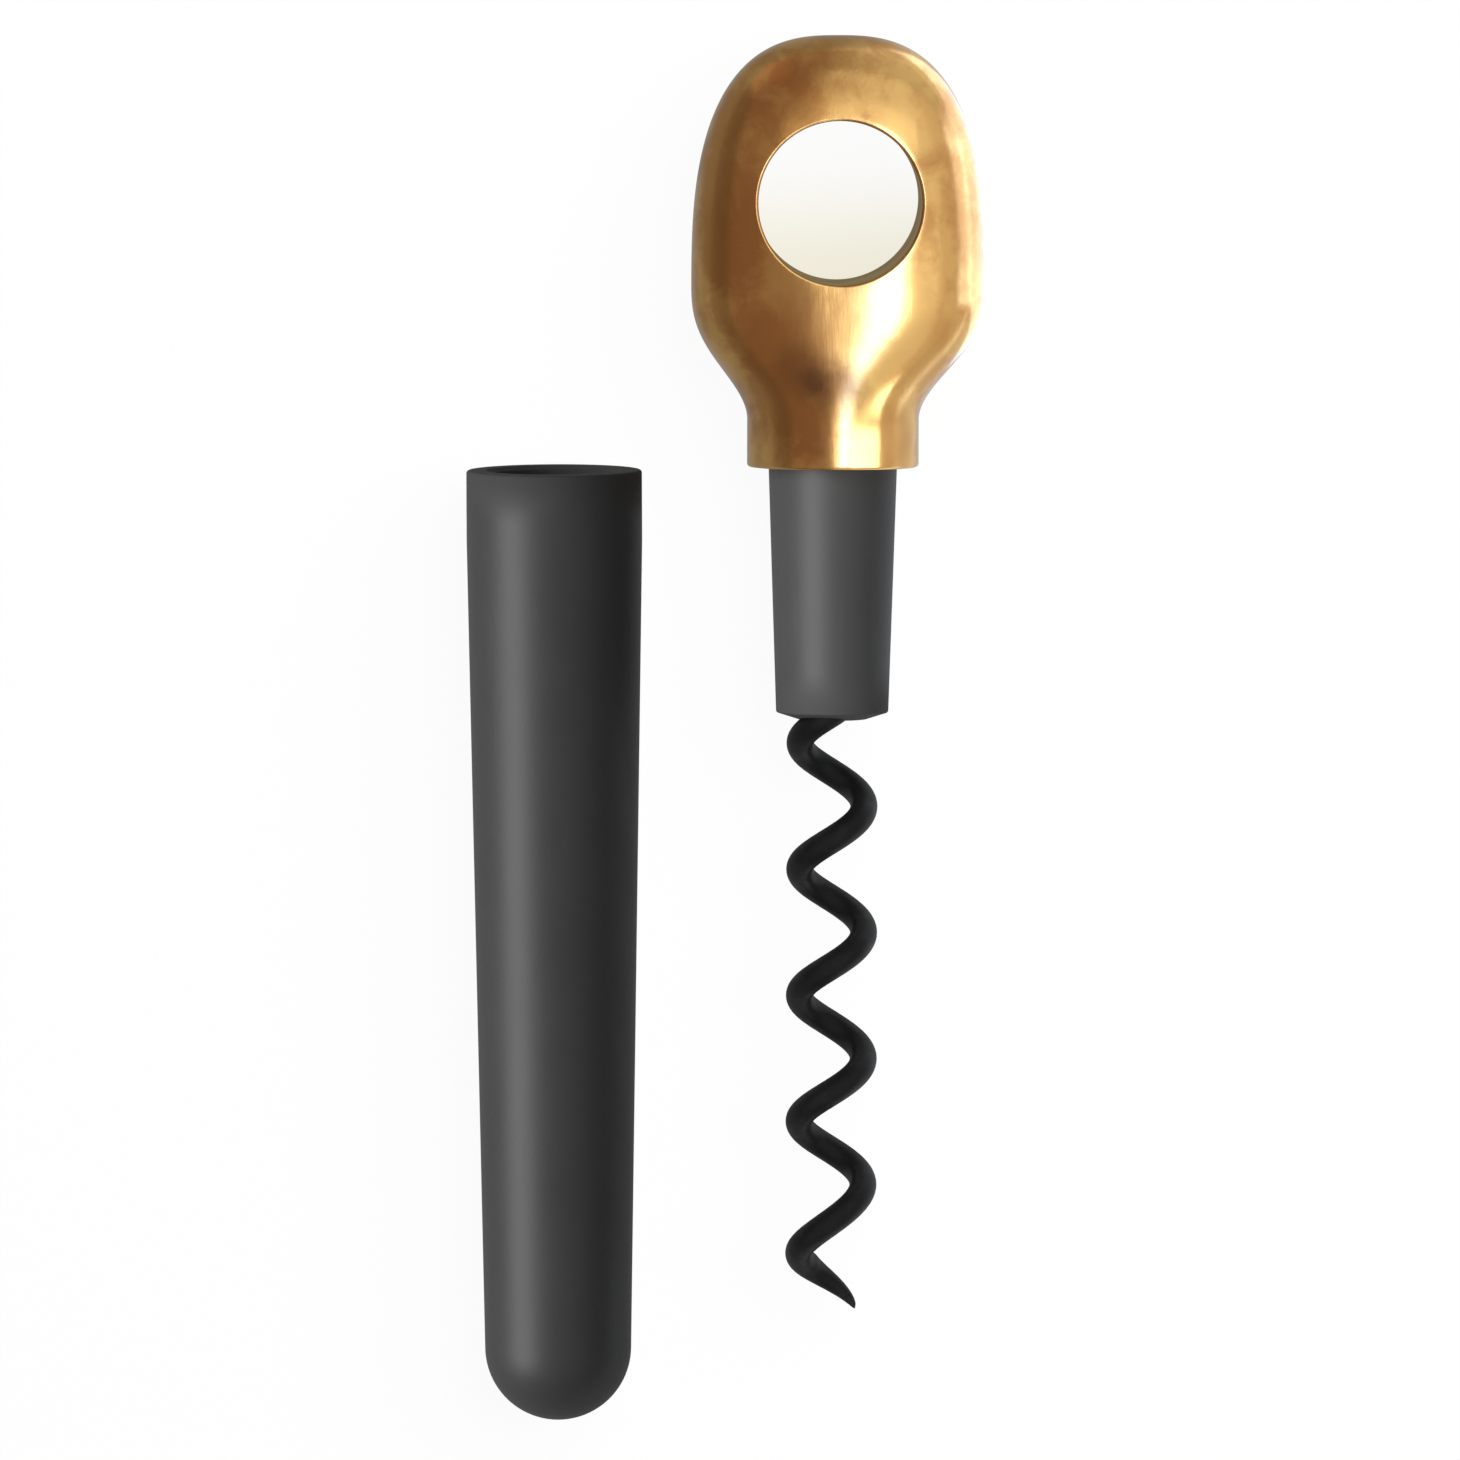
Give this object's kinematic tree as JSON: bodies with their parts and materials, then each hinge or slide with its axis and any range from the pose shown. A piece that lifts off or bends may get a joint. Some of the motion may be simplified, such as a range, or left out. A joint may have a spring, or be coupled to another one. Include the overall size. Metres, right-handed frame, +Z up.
{
  "type": "pocket corkscrew with sheath",
  "caption": "Direct-pull pocket corkscrew: cast brass head with a round eye, tapered plug and wire worm, lying beside its hollow tapered sheath.",
  "frame": {"origin": "middle of the footprint on the table, with the corkscrew and its sheath lying side by side", "axes": "+Y along the screw's axis towards the head, +X from the sheath towards the screw, +Z up from the table"},
  "size_m": [0.0517, 0.1384, 0.0176],
  "materials": {
    "brass": "burnished cast brass",
    "steel": "turned, bright",
    "black_wire": "black low-friction coating on spring steel wire",
    "black_plastic": "satin glass-filled nylon"
  },
  "bodies": {
    "corkscrew": {"head": "brass", "lock_washer": "steel", "spindle": "steel", "clamp_screw_upper": "steel", "clamp_screw_lower": "steel", "worm": "black_wire", "plug": "black_plastic"},
    "sheath": {"sheath": "black_plastic"}
  },
  "joints": [
    {"name": "sheath_slide", "type": "slide", "parent": "corkscrew", "child": "sheath", "axis": [0, -1, 0], "range_m": [0, 0.09]}
  ]
}
